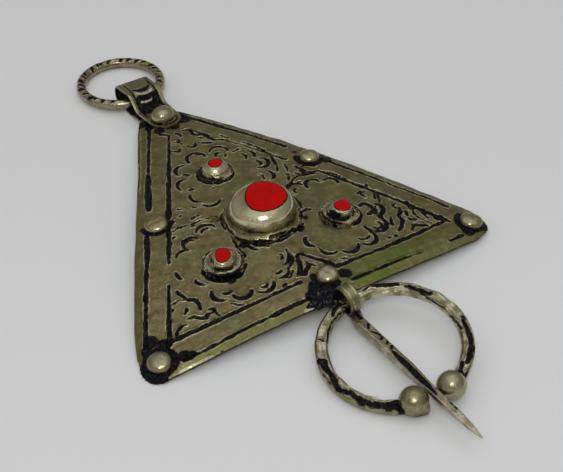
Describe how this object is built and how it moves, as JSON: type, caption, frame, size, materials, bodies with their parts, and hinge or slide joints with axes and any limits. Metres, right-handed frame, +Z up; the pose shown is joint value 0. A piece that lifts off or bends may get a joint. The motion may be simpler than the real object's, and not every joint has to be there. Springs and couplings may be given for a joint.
{
  "type": "fibula brooch",
  "caption": "Triangular silver fibula: crowned chased plate with red-capped settings and domed rivets, a folded bail with a suspension ring, and a penannular ring with a swinging pin",
  "frame": {"origin": "middle of the whole brooch's width-by-length box, on the surface that it lies on", "axes": "+X right corner of the plate, +Y from the pin to the suspension ring, +Z up out of the plate's face"},
  "size_m": [0.0942, 0.1698, 0.0133],
  "materials": {
    "plate_silver": "chased silver sheet, worn bright on the bosses, dark patina in the lines",
    "strap_silver": "folded silver strap, punched crescents filled with dark patina",
    "stud_silver": "worn, half-polished silver rivet head",
    "ring_silver": "cast silver wire ring, polished, with dark strokes round its upper face",
    "hoop_silver": "hammered silver bar with dark patina in the dents, polished balls",
    "pin_silver": "filed silver, dark patina in the groove",
    "red_stone": "smooth, glossy, opaque red"
  },
  "bodies": {
    "brooch": {"plate": "plate_silver", "centre_stone": "red_stone", "upper_stone": "red_stone", "left_stone": "red_stone", "right_stone": "red_stone", "apex_stud": "stud_silver", "upper_right_stud": "stud_silver", "right_stud": "stud_silver", "lower_stud": "stud_silver", "left_stud": "stud_silver", "upper_left_stud": "stud_silver", "bail": "strap_silver", "pin_ring": "hoop_silver"},
    "pin": {"pin": "pin_silver"},
    "suspension_ring": {"suspension_ring": "ring_silver"}
  },
  "joints": [
    {"name": "pin_swing", "type": "hinge", "parent": "brooch", "child": "pin", "pos_m": [0.00031, -0.03818, 0.00668], "axis": [-0.9899, -0.0244, -0.1394], "range_deg": [-85, 160]},
    {"name": "ring_swing", "type": "hinge", "parent": "brooch", "child": "suspension_ring", "pos_m": [-0.0007, 0.06163, 0.00215], "axis": [1, 0, 0], "range_deg": [0, 165]}
  ]
}
